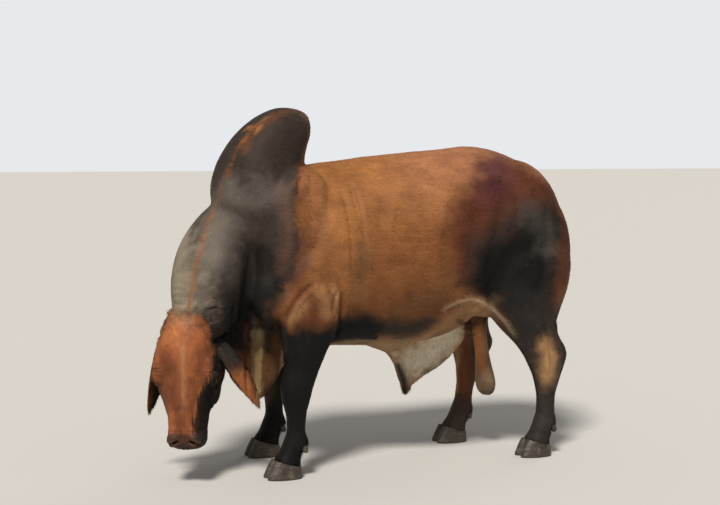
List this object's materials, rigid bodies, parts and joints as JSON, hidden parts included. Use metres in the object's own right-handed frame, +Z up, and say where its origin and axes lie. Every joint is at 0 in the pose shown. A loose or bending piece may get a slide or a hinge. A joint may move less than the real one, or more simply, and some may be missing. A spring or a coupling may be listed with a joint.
{
  "type": "brahman bull",
  "caption": "Life-size still model of a red humped bull grazing, head low and turned to its left, with drooping ears, dewlap, long sheath, tufted tail and cloven hoofs.",
  "frame": {"origin": "on the floor, under the middle of the animal's box", "axes": "+Z up; the bull faces -X and its left side is -Y, so +X runs from its head to its tail"},
  "size_m": [2.1168, 0.7812, 1.6739],
  "materials": {
    "torso": "short flat reddish-brown coat, darker over the thighs",
    "hump": "short dark coat with a soft sheen",
    "neck": "short dark coat with a red stripe along the crest",
    "head": "short red coat, dark round the left eye",
    "dewlap": "thin pleated pale skin with short hair",
    "fore_leg": "short near-black coat",
    "hind_leg": "short dark coat with a brown hock",
    "sheath": "thin pale skin with a dark tip",
    "scrotum": "soft reddish skin, dark at the lower end",
    "tail": "short dark brown coat",
    "switch": "long black hair in locks",
    "ear": "thin skin with short reddish hair and a dark tip",
    "eye": "wet dark brown",
    "horn": "dark grey horn"
  },
  "bodies": {
    "root": {"torso": "torso", "hump": "hump", "neck": "neck", "head": "head", "dewlap": "dewlap", "sheath": "sheath", "scrotum": "scrotum", "tail": "tail", "tail_switch": "switch", "fore_leg_left": "fore_leg", "fore_leg_right": "fore_leg", "hind_leg_left": "hind_leg", "hind_leg_right": "hind_leg", "ear_left": "ear", "ear_right": "ear", "eye_left": "eye", "eye_right": "eye", "claw_fore_left_inner": "horn", "claw_fore_left_outer": "horn", "claw_fore_right_inner": "horn", "claw_fore_right_outer": "horn", "claw_hind_left_inner": "horn", "claw_hind_left_outer": "horn", "claw_hind_right_inner": "horn", "claw_hind_right_outer": "horn", "dewclaw_fore_left_inner": "horn", "dewclaw_fore_left_outer": "horn", "dewclaw_fore_right_inner": "horn", "dewclaw_fore_right_outer": "horn", "dewclaw_hind_left_inner": "horn", "dewclaw_hind_left_outer": "horn", "dewclaw_hind_right_inner": "horn", "dewclaw_hind_right_outer": "horn"}
  },
  "joints": []
}
